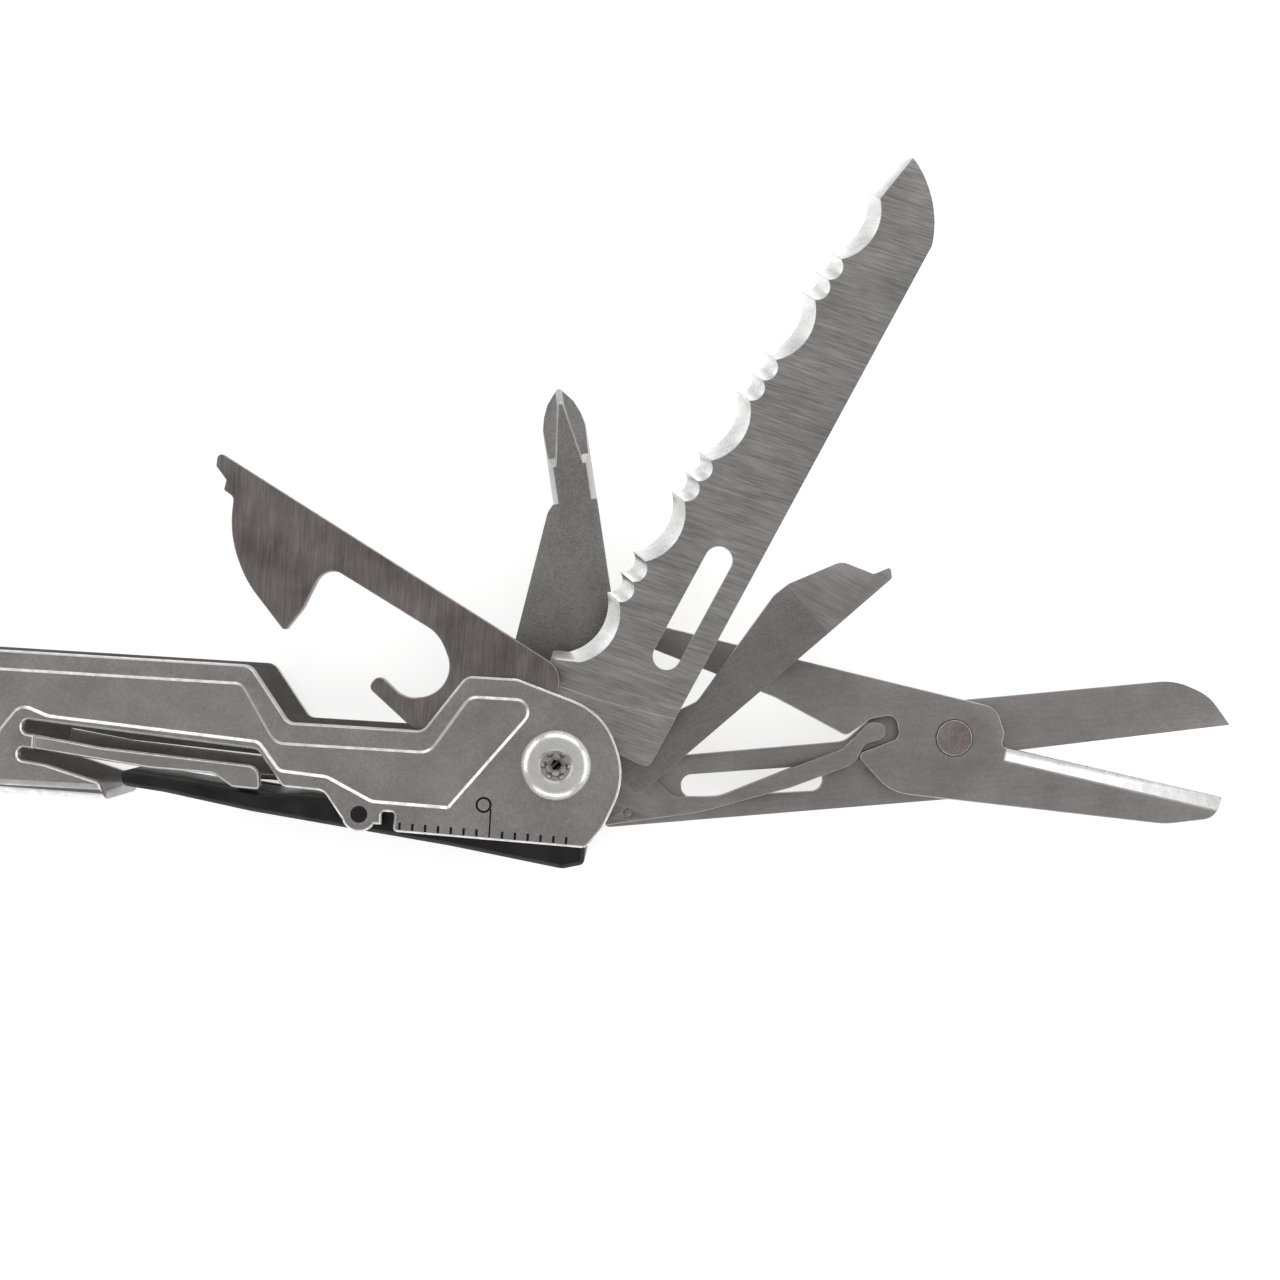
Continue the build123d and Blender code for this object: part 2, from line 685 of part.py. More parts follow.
with BuildPart() as scissors_moving_arm:
    with BuildSketch(moving_plane):
        add(rounded([
            (12.3, 16.9, 0.8),
            (57.0, 2.05, 2.4),
            (57.8, -1.4, 1.5),
            (57.2, -3.0, 0.5),
            (85.6, -12.0, 0.2),
            (83.8, -14.6, 2.4),
            (77.5, -14.8, 9.0),
            (42.4, -7.8, 6.0),
            (38.3, -2.5, 0.7),
            (44.2, -0.8, 1.2),
            (43.8, 2.3, 1.2),
            (40.5, 1.9, 2.5),
            (37.3, 0.0, 1.0),
            (28.5, 5.7, 8.0),
            (11.7, 14.0, 0.6),
        ]))
        with Locations((RIVET_X, RIVET_Y)):
            Circle(RIVET_R + RUN_FIT, mode=Mode.SUBTRACT)
    extrude(amount=MOVING_ARM_T)
    add(edge_bevel(moving_plane, (58.0, -3.1), (85.6, -12.0), 1.9, 1.2, MOVING_ARM_T),
        mode=Mode.SUBTRACT)
save(scissors_moving_arm.part, "scissors_moving_arm")

with BuildPart() as scissors_spring:
    with BuildSketch(moving_plane):
        Circle(7.0)
        add(rounded([
            (4.6, -5.0, 0),
            (5.0, -9.0, 0.5),
            (17.6, -8.3, 10.0),
            (29.5, -6.1, 8.0),
            (38.1, -3.7, 3.0),
            (39.6, -1.2, 1.6),
            (42.1, -0.8, 1.0),
            (42.6, 1.1, 0.9),
            (40.5, 1.6, 1.1),
            (38.5, -0.2, 1.5),
            (36.6, -1.7, 2.0),
            (29.0, -3.8, 8.0),
            (20.0, -6.5, 6.0),
            (14.2, -6.0, 2.5),
            (9.0, 0.0, 0),
            (3.0, 5.0, 0),
        ]))
        Circle(BARREL_R + RUN_FIT, mode=Mode.SUBTRACT)
        with Locations((STUD_X, STUD_Y)):
            Circle(STUD_R, mode=Mode.SUBTRACT)
    extrude(amount=MOVING_ARM_T)
save(scissors_spring.part, "scissors_spring")

with BuildPart() as scissors_rivet:
    rivet_plane = tool_plane(0, SCISSORS_REST)
    with BuildSketch(rivet_plane.offset(FIXED_ARM_Z)):
        with Locations((RIVET_X, RIVET_Y)):
            Circle(RIVET_R)
    extrude(amount=MOVING_ARM_Z + MOVING_ARM_T + 0.02 - FIXED_ARM_Z)
    with BuildSketch(rivet_plane.offset(MOVING_ARM_Z + MOVING_ARM_T + 0.02)):
        with Locations((RIVET_X, RIVET_Y)):
            Circle(RIVET_HEAD_R)
    extrude(amount=0.2, taper=45)
save(scissors_rivet.part, "scissors_rivet")

with BuildPart() as scissors_spring_stud:
    with BuildSketch(fixed_plane):
        with Locations((STUD_X, STUD_Y)):
            Circle(STUD_R)
    extrude(amount=FIXED_ARM_T + ARM_GAP + MOVING_ARM_T + 0.06)
save(scissors_spring_stud.part, "scissors_spring_stud")


# ================================================================ tools of the left handle
def left_tool(sketch, z, thickness):
    """Folded tool, drawn straight out from the pivot of the right handle."""
    with BuildPart() as tool:
        with BuildSketch(tool_plane(z, FOLDED)):
            add(sketch)
            Circle(BARREL_R + RUN_FIT, mode=Mode.SUBTRACT)
        extrude(amount=thickness)
    return tool.part


LEFT_BACK = 10.2

with BuildPart() as nail_file:
    add(left_tool(tang(LEFT_BACK, 14.0, 1.0) + rounded([
        (7.0, -LEFT_BACK, 0), (70.0, -LEFT_BACK, 2.0), (70.0, -4.5, 4.0),
        (60.0, -2.2, 6.0), (14.0, -1.6, 2.0), (9.0, 3.0, 0),
    ]), OPENER_Z, OPENER_T))
save(nail_file.part.mirror(MIDDLE), "nail_file")

SAW_PITCH = 2.2
SAW_TEETH = 24
SAW_START = 16.0
with BuildSketch(Plane.XY) as saw_outline:
    with BuildLine():
        saw_teeth = []
        for tooth in range(SAW_TEETH):
            x = SAW_START + tooth * SAW_PITCH
            saw_teeth += [(x, -0.6), (x + SAW_PITCH * 0.75, 1.0)]
        end_x = SAW_START + SAW_TEETH * SAW_PITCH
        Polyline(
            (9.0, -LEFT_BACK), (74.0, -LEFT_BACK), (79.0, -6.0), (end_x, -0.6),
            *reversed(saw_teeth), (13.0, 3.0), (9.0, 5.0), close=True,
        )
    make_face()
    add(tang(LEFT_BACK, 11.0, 5.0))
with BuildPart() as wood_saw:
    add(left_tool(saw_outline.sketch, SERRATED_Z, SERRATED_T))
save(wood_saw.part.mirror(MIDDLE), "wood_saw")

with BuildPart() as small_driver:
    add(left_tool(tang(LEFT_BACK, 14.0, -3.0) + rounded([
        (7.0, -LEFT_BACK, 0), (45.0, -LEFT_BACK, 0.4), (45.0, -6.6, 0.4),
        (36.0, -5.0, 5.0), (20.0, -4.4, 3.0), (14.0, -3.0, 2.0), (7.0, 2.5, 0),
    ]), FLAT_Z, FLAT_T))
    add(driver_slope(tool_plane(FLAT_Z, FOLDED), 35.0, 46.0, FLAT_T, 1.4), mode=Mode.SUBTRACT)
save(small_driver.part.mirror(MIDDLE), "small_driver")

with BuildPart() as awl:
    add(left_tool(tang(LEFT_BACK, 12.0, 4.0) + rounded([
        (7.0, -LEFT_BACK, 0), (30.0, -LEFT_BACK, 3.0), (44.5, -7.6, 0.2),
        (30.0, -5.4, 8.0), (12.0, 4.0, 0), (9.0, 4.9, 0),
    ]), PHILLIPS_Z, PHILLIPS_T))
    add(driver_slope(tool_plane(PHILLIPS_Z, FOLDED), 26.0, 45.0, PHILLIPS_T, 2.8),
        mode=Mode.SUBTRACT)
save(awl.part.mirror(MIDDLE), "awl")

knife_plane = tool_plane(FIXED_ARM_Z, FOLDED)
with BuildPart() as knife_blade:
    add(left_tool(tang(LEFT_BACK, 12.0, 5.2) + rounded([
        (7.0, -LEFT_BACK, 0), (66.0, -LEFT_BACK, 12.0), (86.0, -3.4, 0.3),
        (78.0, -0.4, 6.0), (22.0, 3.0, 1.5), (18.0, 0.4, 1.5), (13.5, 1.2, 1.5), (9.0, 6.0, 0),
    ]), FIXED_ARM_Z, KNIFE_T))
    for near in (True, False):
        add(edge_bevel(knife_plane, (20.0, 3.1), (78.5, -0.5), 7.0, 1.35, KNIFE_T, near),
            mode=Mode.SUBTRACT)
save(knife_blade.part.mirror(MIDDLE), "knife_blade")


# ================================================================ pliers
JAW_GAP = 0.08
TOOTH_PITCH = 1.0
TOOTH_COUNT = 11
HALF_GAP = 0.03


def plier_half(disc_low):
    """Half that hangs on the right handle. Its jaw is left of the middle."""
    middle_z = JAW_Z + JAW_T / 2
    cut_z = middle_z - HALF_GAP if disc_low else JAW_Z - 1
    with BuildPart() as half:
        with BuildSketch(Plane((MIDDLE_X, JAW_PIVOT_Y, JAW_Z))):
            Circle(JAW_DISC_R)
            add(rounded([
                (-JAW_GAP, 2.0, 0),
                (-JAW_GAP, 11.5, 0),
                (-2.7, 13.6, 1.5),
                (-2.7, 20.4, 1.5),
                (-JAW_GAP, 22.5, 0.3),
                (-JAW_GAP, JAW_LENGTH, 0.3),
                (-2.0, JAW_LENGTH, 0.9),
                (-3.3, 26.0, 8.0),
                (-6.9, 16.0, 12.0),
                (-8.0, 7.0, 3.0),
                (-7.0, 2.2, 0),
                (-3.0, 0.0, 0),
            ]))
            add(rounded([
                (JAW_GAP, -4.0, 0),
                (JAW_GAP, -12.5, 2.0),
                (4.0, -15.2, 0),
                (11.4, -8.2, 0),
                (6.6, -1.6, 0),
            ]))
            with Locations((HINGE_OFFSET, HINGE_Y - JAW_PIVOT_Y)):
                Circle(HUB_R)
        extrude(amount=JAW_T)
        # the other half's disc turns here
        with Locations((MIDDLE_X, JAW_PIVOT_Y, cut_z + (JAW_T / 2 + 1 + HALF_GAP) / 2)):
            Cylinder(JAW_DISC_R + 0.3, JAW_T / 2 + 1 + HALF_GAP, mode=Mode.SUBTRACT)
        # hub as wide as the channel, and its running hole
        with Locations((HINGE_X, HINGE_Y, HANDLE_WIDTH / 2)):
            Cylinder(HUB_R - 0.4, INNER_WIDTH - 0.2)
            Cylinder(BARREL_R + RUN_FIT, HANDLE_WIDTH, mode=Mode.SUBTRACT)
        with Locations((MIDDLE_X, JAW_PIVOT_Y, middle_z)):
            Cylinder(JAW_RIVET_R + (0.01 if disc_low else RUN_FIT), JAW_T + 2, mode=Mode.SUBTRACT)
        # gripping teeth
        for tooth in range(TOOTH_COUNT):
            y = JAW_PIVOT_Y + 23.0 + tooth * TOOTH_PITCH
            with BuildSketch(Plane.XY.offset(JAW_Z)):
                with BuildLine():
                    Polyline(
                        (MIDDLE_X, y), (MIDDLE_X, y + 0.8), (MIDDLE_X - 0.45, y + 0.4), close=True
                    )
                make_face()
            extrude(amount=JAW_T, mode=Mode.SUBTRACT)
        # both faces slope to the wire cutter's edge
        for face_z, side in ((JAW_Z, 1), (JAW_Z + JAW_T, -1)):
            with BuildSketch(Plane.XZ.offset(-(JAW_PIVOT_Y + 8.2))):
                with BuildLine():
                    Polyline(
                        (MIDDLE_X + 1, face_z - side), (MIDDLE_X - 2.4, face_z - side),
                        (MIDDLE_X - 2.4, face_z), (MIDDLE_X - JAW_GAP, middle_z - side * 0.2),
                        (MIDDLE_X + 1, middle_z - side * 0.2), close=True,
                    )
                make_face()
            extrude(amount=-3.4, mode=Mode.SUBTRACT)
    return half.part


save(plier_half(disc_low=True), "plier_half_right")
save(plier_half(disc_low=False).mirror(MIDDLE), "plier_half_left")

with BuildPart() as jaw_rivet:
    with Locations((MIDDLE_X, JAW_PIVOT_Y, JAW_Z + JAW_T / 2)):
        Cylinder(JAW_RIVET_R, JAW_T + 0.2)
    chamfer(jaw_rivet.edges().filter_by(GeomType.CIRCLE), 0.1)
save(jaw_rivet.part, "jaw_rivet")
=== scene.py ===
from math import cos, radians, sin

import bmesh
import bpy
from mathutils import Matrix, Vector


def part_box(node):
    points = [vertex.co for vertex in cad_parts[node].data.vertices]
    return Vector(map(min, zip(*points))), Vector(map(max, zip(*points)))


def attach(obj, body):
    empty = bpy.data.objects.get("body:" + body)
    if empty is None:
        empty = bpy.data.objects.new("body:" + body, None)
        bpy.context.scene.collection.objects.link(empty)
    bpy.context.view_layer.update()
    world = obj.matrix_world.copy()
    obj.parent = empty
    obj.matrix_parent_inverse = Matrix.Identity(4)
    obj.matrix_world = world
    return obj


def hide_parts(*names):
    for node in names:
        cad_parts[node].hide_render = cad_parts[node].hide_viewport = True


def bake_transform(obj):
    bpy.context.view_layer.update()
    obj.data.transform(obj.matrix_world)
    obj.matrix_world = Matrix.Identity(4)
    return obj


# The looks of a folding multi tool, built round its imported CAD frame. Metres.
# Each CAD node is copied, its edges are rounded and polished, and its faces get
# procedural steels: blasted, brushed, ground, satin and blackened.

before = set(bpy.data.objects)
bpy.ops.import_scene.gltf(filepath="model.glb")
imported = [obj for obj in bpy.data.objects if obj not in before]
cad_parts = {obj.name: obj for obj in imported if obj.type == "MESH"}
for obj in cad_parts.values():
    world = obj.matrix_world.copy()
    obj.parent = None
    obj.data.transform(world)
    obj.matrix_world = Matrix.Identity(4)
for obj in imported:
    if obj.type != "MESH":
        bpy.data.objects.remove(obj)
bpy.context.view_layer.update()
MM = 0.001

# angles at which the right handle's tools stand open, for the grain on each
SERRATED_ANGLE = 65.0
FLAT_ANGLE = 44.0
SCISSORS_ANGLE = 8.2

# handle heights, and the plane that mirrors one handle into the other, in mm
HANDLE_TOP_Z = 17.0
INNER_FACE_Z = 1.2
MIDDLE_X = -101.5

# edge work: bevels round edges sharper than the first angle, and edges sharper
# than the second are shaded as creases
BEVEL_ANGLE = radians(24)
BEVEL_SEGMENTS = 2
CREASE_ANGLE = radians(32)
WELD_DISTANCE = 0.002 * MM
COPLANAR_ANGLE = radians(0.6)

# cuts across a leaf spring, so that it can bend
BEND_STEPS = 10


# ---------------------------------------------------------------- materials
class Nodes:
    """Short ways to add and join shader nodes in one material."""

    def __init__(self, name):
        self.material = bpy.data.materials.new(name)
        self.material.use_nodes = True
        self.tree = self.material.node_tree
        self.shader = self.tree.nodes["Principled BSDF"]
        self.place = self.tree.nodes.new("ShaderNodeTexCoord").outputs["Object"]

    def link(self, source, target):
        self.tree.links.new(source, target)

    def mapped(self, angle, scale):
        """Object coordinates turned so that X runs at an angle, then scaled."""
        turn = self.tree.nodes.new("ShaderNodeMapping")
        turn.inputs["Rotation"].default_value = (0, 0, -radians(angle))
        self.link(self.place, turn.inputs["Vector"])
        stretch = self.tree.nodes.new("ShaderNodeMapping")
        stretch.inputs["Scale"].default_value = scale
        self.link(turn.outputs["Vector"], stretch.inputs["Vector"])
        return stretch.outputs["Vector"]

    def noise(self, vector, scale, detail=3.0, roughness=0.6):
        texture = self.tree.nodes.new("ShaderNodeTexNoise")
        texture.inputs["Scale"].default_value = scale
        texture.inputs["Detail"].default_value = detail
        texture.inputs["Roughness"].default_value = roughness
        self.link(vector, texture.inputs["Vector"])
        return texture.outputs["Fac"]

    def spread(self, value, low, high, start=0.3, end=0.7):
        """Value from start..end to low..high."""
        ranged = self.tree.nodes.new("ShaderNodeMapRange")
        ranged.inputs["From Min"].default_value = start
        ranged.inputs["From Max"].default_value = end
        ranged.inputs["To Min"].default_value = low
        ranged.inputs["To Max"].default_value = high
        self.link(value, ranged.inputs["Value"])
        return ranged.outputs["Result"]

    def multiply(self, a, b):
        maths = self.tree.nodes.new("ShaderNodeMath")
        maths.operation = "MULTIPLY"
        self.link(a, maths.inputs[0])
        self.link(b, maths.inputs[1])
        return maths.outputs["Value"]

    def shade(self, dark, light, value):
        """Colour between dark and light."""
        mix = self.tree.nodes.new("ShaderNodeMix")
        mix.data_type = "RGBA"
        mix.inputs["A"].default_value = (*dark, 1)
        mix.inputs["B"].default_value = (*light, 1)
        self.link(value, mix.inputs["Factor"])
        return mix.outputs["Result"]

    def bump(self, height, distance, strength=1.0, under=None):
        bump = self.tree.nodes.new("ShaderNodeBump")
        bump.inputs["Distance"].default_value = distance
        bump.inputs["Strength"].default_value = strength
        self.link(height, bump.inputs["Height"])
        if under:
            self.link(under, bump.inputs["Normal"])
        return bump.outputs["Normal"]


def tint(colour, factor):
    return tuple(channel * factor for channel in colour)


def brushed(name, colour, angle, roughness, contrast=0.35, depth=0.012, smudge=0.15):
    """Steel with a straight grain at an angle, streaks and soft smudges."""
    n = Nodes(name)
    fine = n.noise(n.mapped(angle, (260, 5200, 5200)), 1.0, 4.0, 0.65)
    broad = n.noise(n.mapped(angle, (110, 900, 900)), 1.0, 2.0, 0.5)
    cloud = n.noise(n.place, 190.0, 3.0, 0.5)
    streak = n.multiply(
        n.spread(fine, 1 - contrast, 1 + contrast), n.spread(broad, 0.9, 1.1)
    )
    tone = n.multiply(streak, n.spread(cloud, 1 - smudge, 1 + smudge * 0.5))
    n.link(
        n.shade(tint(colour, 0.55), tint(colour, 1.45), n.spread(tone, 0, 1, 0.55, 1.45)),
        n.shader.inputs["Base Color"],
    )
    n.link(n.spread(fine, roughness - 0.06, roughness + 0.08), n.shader.inputs["Roughness"])
    n.link(n.bump(fine, depth * MM), n.shader.inputs["Normal"])
    n.shader.inputs["Metallic"].default_value = 1.0
    return n.material


def blasted(name, colour, roughness, speckle=0.16, depth=0.02, smudge=0.12, grain=None):
    """Steel blasted to an even matt skin of tiny pits, with faint handling marks.

    With a grain angle, traces of an earlier brushing show through.
    """
    n = Nodes(name)
    pits = n.noise(n.place, 5200.0, 4.0, 0.7)
    grit = n.noise(n.place, 1900.0, 2.0, 0.6)
    cloud = n.noise(n.place, 150.0, 5.0, 0.6)
    tone = n.multiply(
        n.multiply(n.spread(pits, 1 - speckle, 1 + speckle), n.spread(grit, 0.94, 1.06)),
        n.spread(cloud, 1 - smudge, 1 + smudge * 0.8),
    )
    if grain is not None:
        trace = n.noise(n.mapped(grain, (240, 3600, 3600)), 1.0, 3.0, 0.6)
        tone = n.multiply(tone, n.spread(trace, 0.93, 1.07))
    n.link(
        n.shade(tint(colour, 0.55), tint(colour, 1.45), n.spread(tone, 0, 1, 0.55, 1.45)),
        n.shader.inputs["Base Color"],
    )
    n.link(n.spread(pits, roughness - 0.05, roughness + 0.07), n.shader.inputs["Roughness"])
    n.link(
        n.bump(grit, 0.6 * depth * MM, under=n.bump(pits, depth * MM)),
        n.shader.inputs["Normal"],
    )
    n.shader.inputs["Metallic"].default_value = 1.0
    return n.material


def polished(name, colour, roughness):
    """Steel edge, worn bright unevenly."""
    n = Nodes(name)
    wear = n.noise(n.place, 900.0, 4.0, 0.6)
    n.link(
        n.shade(tint(colour, 0.72), tint(colour, 1.08), n.spread(wear, 0, 1)),
        n.shader.inputs["Base Color"],
    )
    n.link(n.spread(wear, roughness + 0.1, roughness - 0.05), n.shader.inputs["Roughness"])
    n.shader.inputs["Metallic"].default_value = 1.0
    return n.material


def blackened(name, shade, roughness):
    """Black oxide on steel, greyer where hands rub it."""
    n = Nodes(name)
    rub = n.noise(n.place, 260.0, 5.0, 0.6)
    pits = n.noise(n.place, 4200.0, 3.0, 0.6)
    n.link(
        n.shade((shade * 0.6,) * 3, (shade * 2.0,) * 3, n.spread(rub, 0, 1, 0.35, 0.75)),
        n.shader.inputs["Base Color"],
    )
    n.link(n.spread(rub, roughness + 0.08, roughness - 0.08), n.shader.inputs["Roughness"])
    n.link(n.bump(pits, 0.01 * MM), n.shader.inputs["Normal"])
    n.shader.inputs["Metallic"].default_value = 0.4
    return n.material


def file_cut(name, colour, angle):
    """Steel face with the crossed cuts of a file."""
    n = Nodes(name)
    height = None
    for lean in (32, -32):
        wave = n.tree.nodes.new("ShaderNodeTexWave")
        wave.inputs["Scale"].default_value = 420.0
        n.link(n.mapped(angle + lean, (1, 1, 1)), wave.inputs["Vector"])
        height = n.multiply(height, wave.outputs["Fac"]) if height else wave.outputs["Fac"]
    n.link(
        n.shade(tint(colour, 0.55), tint(colour, 1.3), height), n.shader.inputs["Base Color"]
    )
    n.link(n.spread(height, 0.5, 0.32, 0.0, 1.0), n.shader.inputs["Roughness"])
    n.link(n.bump(height, 0.08 * MM), n.shader.inputs["Normal"])
    n.shader.inputs["Metallic"].default_value = 1.0
    return n.material


WARM_STEEL = (0.40, 0.38, 0.375)
BRIGHT_STEEL = (0.86, 0.85, 0.845)
HANDLE_SKIN = blasted("handle_skin", WARM_STEEL, 0.4, speckle=0.2, smudge=0.16)
# polished rims; the same bright material also paints a highlight on the strap bend
HANDLE_RIM_AND_BEND_HIGHLIGHT = polished("handle_rim_and_bend_highlight", BRIGHT_STEEL, 0.28)
# painted shade: darker steel for the inside of the handles, which lies in shadow
HANDLE_INSIDE_SHADE = blasted("handle_inside_shade", (0.2, 0.195, 0.19), 0.5, speckle=0.2, smudge=0.2)
# painted shade: dark steel for the foot of the panel's step
PANEL_STEP_SHADE = blasted("panel_step_shade", (0.16, 0.155, 0.15), 0.45)
MARKS = blackened("marks", 0.008, 0.6)
EDGE = polished("edge", (0.66, 0.65, 0.64), 0.32)
DARK_EDGE = polished("dark_edge", (0.42, 0.40, 0.39), 0.35)
SPRING_SKIN = blasted("spring_skin", (0.42, 0.405, 0.40), 0.34, speckle=0.1)
SATIN_SCREW = blasted("satin_screw", (0.95, 0.945, 0.94), 0.24, speckle=0.03, depth=0.004)
RECESS = blasted("recess", (0.50, 0.485, 0.47), 0.32, speckle=0.2)
# painted shade: dark steel for the deepest foot of the screw recess
RECESS_FOOT_SHADE = blasted("recess_foot_shade", (0.13, 0.11, 0.10), 0.4, speckle=0.2)
OPENER_SKIN = brushed("opener_skin", (0.275, 0.245, 0.235), 90, 0.34, contrast=0.22, smudge=0.3)
BLADE_SKIN = brushed(
    "blade_skin", (0.42, 0.405, 0.40), SERRATED_ANGLE - 80, 0.34, contrast=0.3, smudge=0.12
)
GROUND = brushed(
    "ground", (0.93, 0.93, 0.93), SERRATED_ANGLE - 62, 0.3, contrast=0.03, depth=0.003, smudge=0.04
)
DRIVER_SKIN = blasted(
    "driver_skin", (0.30, 0.28, 0.275), 0.4, speckle=0.2, grain=FLAT_ANGLE - 15, smudge=0.16
)
DRIVER_TIP = brushed("driver_tip", (0.38, 0.365, 0.36), FLAT_ANGLE - 70, 0.36, contrast=0.15)
CROSS_SKIN = blasted("cross_skin", (0.30, 0.29, 0.285), 0.46, speckle=0.34, depth=0.05)
CROSS_GRIND = blasted("cross_grind", (0.55, 0.54, 0.53), 0.36, speckle=0.12)
SCISSOR_SKIN = blasted(
    "scissor_skin", (0.37, 0.355, 0.345), 0.4, speckle=0.16, grain=SCISSORS_ANGLE, smudge=0.14
)
SCISSOR_GRIND = brushed(
    "scissor_grind", (0.9, 0.9, 0.9), SCISSORS_ANGLE + 70, 0.28, contrast=0.03, depth=0.003, smudge=0.04
)
RIVET_SKIN = blasted("rivet_skin", (0.36, 0.30, 0.29), 0.36, speckle=0.35, smudge=0.35)
# painted shade: near-black ring for the rivet's sloped faces
RIVET_RING_SHADE = blackened("rivet_ring_shade", 0.02, 0.5)
LEVER_SKIN = blackened("lever_skin", 0.016, 0.34)
LEVER_EDGE = blackened("lever_edge", 0.06, 0.28)
WASHER_SKIN = brushed("washer_skin", (0.42, 0.35, 0.27), 30, 0.4, contrast=0.15)
FOLDED_SKIN = brushed("folded_skin", (0.38, 0.37, 0.365), 90, 0.34, contrast=0.25)
FILE_SKIN = file_cut("file_skin", (0.38, 0.37, 0.365), 0)
PLIER_SKIN = blasted("plier_skin", (0.36, 0.35, 0.345), 0.42, speckle=0.24, depth=0.03)


# ---------------------------------------------------------------- pieces
def is_tilted(face):
    """Ground or sloped face: neither flat on a layer nor upright."""
    return 0.12 < abs(face.normal.z) < 0.9985


def shape_of(node):
    """Copy of a CAD node with its flat faces whole, ready for edge work."""
    form = bmesh.new()
    form.from_mesh(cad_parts[node].data)
    bmesh.ops.remove_doubles(form, verts=form.verts, dist=WELD_DISTANCE)
    bmesh.ops.dissolve_limit(
        form, angle_limit=COPLANAR_ANGLE, verts=form.verts, edges=form.edges
    )
    form.normal_update()
    return form


def finish_mesh(form, node, materials, width):
    """Piece with its sharp edges rounded; their new faces take the second material."""
    data = bpy.data.meshes.new(node + "_look")
    form.to_mesh(data)
    form.free()
    for material in materials:
        data.materials.append(material)
    piece = bpy.data.objects.new(node + "_look", data)
    bpy.context.scene.collection.objects.link(piece)
    bevel = piece.modifiers.new("edges", "BEVEL")
    bevel.width = width * MM
    bevel.segments = BEVEL_SEGMENTS
    bevel.limit_method = "ANGLE"
    bevel.angle_limit = BEVEL_ANGLE
    bevel.material = 1
    bevel.use_clamp_overlap = True
    evaluated = piece.evaluated_get(bpy.context.evaluated_depsgraph_get())
    rounded = bpy.data.meshes.new_from_object(evaluated)
    piece.modifiers.clear()
    piece.data = rounded
    piece.data.shade_smooth()
    piece.data.set_sharp_from_angle(angle=CREASE_ANGLE)
    return piece


def finish_piece(form, node, body, materials, width):
    """Finished piece that moves with a body and stands for its CAD node."""
    piece = finish_mesh(form, node, materials, width)
    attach(piece, body)
    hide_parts(node)
    return piece


def plain_piece(node, body, skin, edge, width=0.08):
    """Piece of one finish, with edges of another."""
    finish_piece(shape_of(node), node, body, (skin, edge), width)


def ground_piece(node, body, skin, edge, grind, width=0.06):
    """Piece whose sloped faces take a third finish: ground brighter than its skin, or on the rivet a
    near-black painted shade.
    """
    form = shape_of(node)
    for face in form.faces:
        if is_tilted(face):
            face.material_index = 2
    finish_piece(form, node, body, (skin, edge, grind), width)


def is_strap_bend_highlight(face):
    """Near half of the bend under the leaf springs, the faces turned towards -y, painted bright as a
    painted highlight.
    """
    centre = face.calc_center_median() / MM
    return face.normal.y < -0.3 and centre.y < -5.5 and centre.z > HANDLE_TOP_Z - 2.2


def handle_piece(side):
    """Handle with polished rims, a panel step and black ruler marks."""
    materials = (HANDLE_SKIN, HANDLE_RIM_AND_BEND_HIGHLIGHT, PANEL_STEP_SHADE, MARKS, HANDLE_INSIDE_SHADE)
    rim, step, mark, inside = range(1, 5)
    form = shape_of(f"{side}_handle_shell")
    for face in form.faces:
        z = face.calc_center_median().z / MM
        drop = HANDLE_TOP_Z - z
        # tilted faces near the top take the polished rim finish; those of the strap bend take it as a
        # painted highlight
        if is_tilted(face) and (drop < 0.32 or is_strap_bend_highlight(face)):
            face.material_index = rim
        # the upward inner face of the far wall takes the darker inside material as painted shade
        elif face.normal.z > 0.98 and z < INNER_FACE_Z + 0.1:
            face.material_index = inside
        elif abs(face.normal.z) > 0.98 and 0.05 < drop < 0.2:
            face.material_index = mark
    piece = finish_piece(form, f"{side}_handle_shell", f"{side}_handle", materials, 0.09)
    # the foot of the panel's step is painted dark as painted shade; the sides of the marks are black
    for face in piece.data.polygons:
        drop = HANDLE_TOP_Z - face.center.z / MM
        if abs(face.normal.z) < 0.98 and 0.19 < drop < 0.34:
            face.material_index = step
        elif face.area < 0.6 * MM * MM and 0.03 < drop < 0.15 and abs(face.normal.z) < 0.5:
            face.material_index = mark


def screw_piece(node, body):
    """Screw whose six-lobed recess slopes down to a foot painted dark as painted shade."""
    form = shape_of(node)
    low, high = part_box(node)
    middle = (low + high) / 2
    foot = []
    for face in form.faces:
        centre = face.calc_center_bounds()
        reach = (centre - middle).xy.length
        if reach < 2.25 * MM and centre.z < high.z - 0.05 * MM:
            face.material_index = 2
            if face.normal.z > 0.99 and centre.z < high.z - 0.3 * MM:
                foot.append(face)
    for depth in (0.15, 0.3):
        bmesh.ops.inset_individual(form, faces=foot, thickness=0.36 * MM, depth=-depth * MM)
    # the foot takes the dark material as painted shade
    for face in foot:
        face.material_index = 3
    finish_piece(form, node, body, (SATIN_SCREW, EDGE, RECESS, RECESS_FOOT_SHADE), 0.06)


def driver_piece():
    """Cross-head driver: its steep faces are light, its flat ones and flutes dark."""
    form = shape_of("phillips_driver")
    for face in form.faces:
        if 0.12 < abs(face.normal.z) < 0.97:
            face.material_index = 2
    materials = (CROSS_SKIN, CROSS_GRIND, CROSS_GRIND)
    finish_piece(form, "phillips_driver", "phillips", materials, 0.06)


def spring_piece(node, skin, edge, start, end, width):
    """Leaf spring, cut across between start and end so that it can bend from its root body to the body
    that its tip rests on.
    """
    form = shape_of(node)
    start, end = Vector(start) * MM, Vector(end) * MM
    for step in range(1, BEND_STEPS):
        geometry = [*form.verts, *form.edges, *form.faces]
        bmesh.ops.bisect_plane(
            form, geom=geometry, plane_co=start.lerp(end, step / BEND_STEPS),
            plane_no=end - start,
        )
    piece = finish_mesh(form, node, (skin, edge), width)
    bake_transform(piece)
    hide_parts(node)


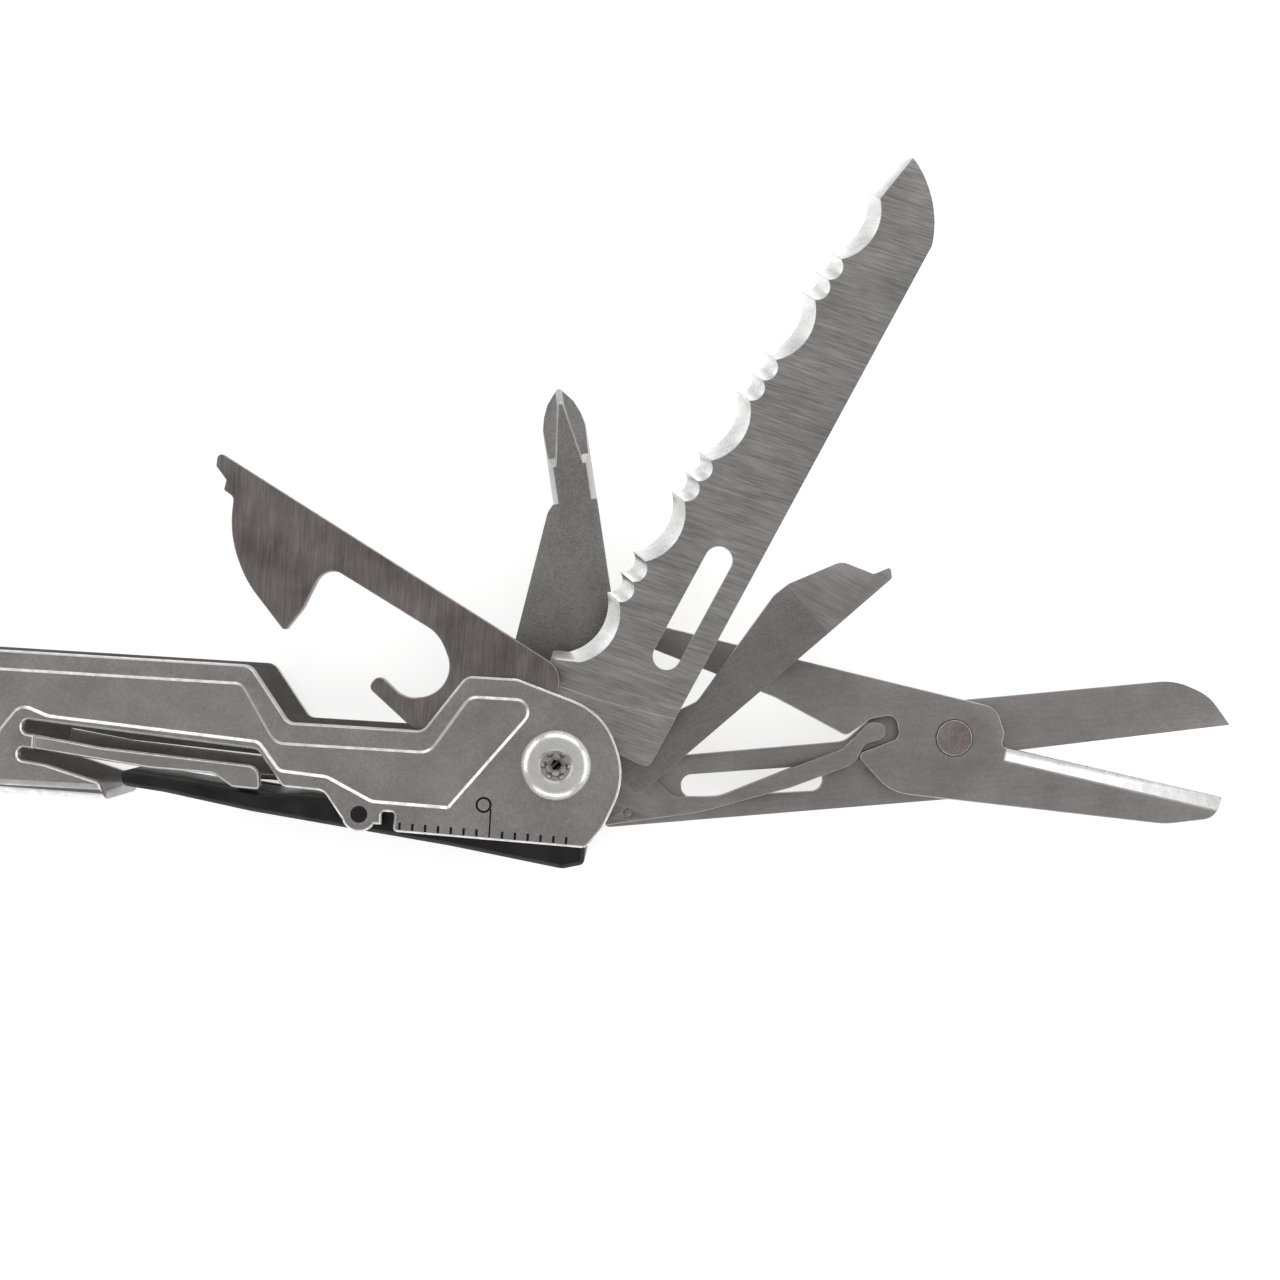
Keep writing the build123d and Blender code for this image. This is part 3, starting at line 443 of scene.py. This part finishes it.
for side in ("right", "left"):
    body = f"{side}_handle"
    handle_piece(side)
    screw_piece(f"{side}_pivot_screw", body)
    screw_piece(f"{side}_hinge_screw", body)
    plain_piece(f"{side}_pivot_barrel", body, EDGE, EDGE, 0.05)
    plain_piece(f"{side}_hinge_barrel", body, EDGE, EDGE, 0.05)
    plain_piece(f"{side}_pivot_washers", body, WASHER_SKIN, WASHER_SKIN, 0.02)
    # the far springs lie inside the handle, so their skin and edges are darkened as painted shade
    for place, skin, edge in (
        ("near", SPRING_SKIN, HANDLE_RIM_AND_BEND_HIGHLIGHT), ("far", HANDLE_INSIDE_SHADE, DARK_EDGE)
    ):
        spring_x = [x if side == "right" else 2 * MIDDLE_X - x for x in (-62.0, -38.0)]
        spring_piece(
            f"{side}_lever_spring_{place}", skin, edge,
            (spring_x[0], -1.5, 0), (spring_x[1], -4.0, 0), 0.08,
        )
    plain_piece(f"{side}_lock_lever", f"{side}_lock", LEVER_SKIN, LEVER_EDGE, 0.12)
    plain_piece(f"{side}_lever_pins", f"{side}_lock", LEVER_SKIN, LEVER_EDGE, 0.12)

plain_piece("can_bottle_opener", "opener", OPENER_SKIN, DARK_EDGE)
ground_piece("serrated_blade", "serrated", BLADE_SKIN, EDGE, GROUND, 0.04)
ground_piece("flat_driver", "flat", DRIVER_SKIN, DARK_EDGE, DRIVER_TIP)
driver_piece()
ground_piece("scissors_fixed_arm", "scissors", SCISSOR_SKIN, EDGE, SCISSOR_GRIND)
ground_piece("scissors_moving_arm", "scissors_arm", SCISSOR_SKIN, EDGE, SCISSOR_GRIND, 0.14)
spring_piece(
    "scissors_spring", SCISSOR_SKIN, EDGE,
    (10.0, -5.0, 0), (37.0, 1.6, 0), 0.14,
)
# the rivet's sloped faces are painted near-black as painted shade of a dark ring
ground_piece("scissors_rivet", "scissors", RIVET_SKIN, EDGE, RIVET_RING_SHADE, 0.05)
plain_piece("scissors_spring_stud", "scissors", RIVET_SKIN, RIVET_SKIN, 0.03)

plain_piece("nail_file", "file", FILE_SKIN, EDGE)
plain_piece("wood_saw", "saw", FOLDED_SKIN, EDGE, 0.05)
ground_piece("small_driver", "left_flat", DRIVER_SKIN, DARK_EDGE, DRIVER_TIP)
ground_piece("awl", "awl", CROSS_SKIN, DARK_EDGE, CROSS_GRIND)
ground_piece("knife_blade", "knife", FOLDED_SKIN, EDGE, GROUND, 0.05)
plain_piece("plier_half_right", "plier_right", PLIER_SKIN, EDGE, 0.18)
plain_piece("plier_half_left", "plier_left", PLIER_SKIN, EDGE, 0.18)
plain_piece("jaw_rivet", "plier_right", RIVET_SKIN, EDGE, 0.08)


# ---------------------------------------------------------------- stage, light and camera
# The floor glows a little, so that it stays nearly white under the soft boxes.
floor_data = bpy.data.meshes.new("floor")
floor_form = bmesh.new()
bmesh.ops.create_grid(floor_form, x_segments=1, y_segments=1, size=3.0)
floor_form.to_mesh(floor_data)
floor_form.free()
floor = bpy.data.objects.new("floor", floor_data)
floor.location.z = -0.02 * MM
bpy.context.scene.collection.objects.link(floor)
paper = bpy.data.materials.new("paper")
paper.use_nodes = True
paper_inputs = paper.node_tree.nodes["Principled BSDF"].inputs
paper_inputs["Base Color"].default_value = (0.9, 0.9, 0.9, 1)
paper_inputs["Roughness"].default_value = 0.9
paper_inputs["Emission Color"].default_value = (1, 1, 1, 1)
paper_inputs["Emission Strength"].default_value = 0.6
floor_data.materials.append(paper)


def area_light(name, azimuth, elevation, distance, size, power):
    """Soft box that looks at the object from a direction."""
    data = bpy.data.lights.new(name, "AREA")
    data.shape = "RECTANGLE"
    data.size, data.size_y = size
    data.energy = power
    light = bpy.data.objects.new(name, data)
    turn, rise = radians(azimuth), radians(elevation)
    light.location = distance * Vector(
        (cos(rise) * cos(turn), cos(rise) * sin(turn), sin(rise))
    )
    light.rotation_euler = light.location.to_track_quat("Z", "Y").to_euler()
    bpy.context.scene.collection.objects.link(light)


area_light("back_box", 80, 30, 1.3, (1.6, 0.6), 3.6)
area_light("left_box", 165, 28, 1.3, (1.4, 0.6), 3.2)
area_light("right_box", 0, 28, 1.3, (1.4, 0.6), 2.4)
area_light("front_box", -95, 30, 1.3, (1.6, 0.6), 2.8)

world = bpy.data.worlds.new("studio")
world.use_nodes = True
world_inputs = world.node_tree.nodes["Background"].inputs
world_inputs["Color"].default_value = (0.93, 0.92, 0.92, 1)
world_inputs["Strength"].default_value = 0.5
bpy.context.scene.world = world

camera_data = bpy.data.cameras.new("camera")
camera_data.lens = 56.0
camera_data.sensor_width = 36.0
camera = bpy.data.objects.new("camera", camera_data)
camera.location = (9.43 * MM, 16.10 * MM, 262.8 * MM)
camera.rotation_euler = (0, 0, radians(3.5))
bpy.context.scene.collection.objects.link(camera)
bpy.context.scene.camera = camera
bpy.context.scene.view_settings.view_transform = "Standard"
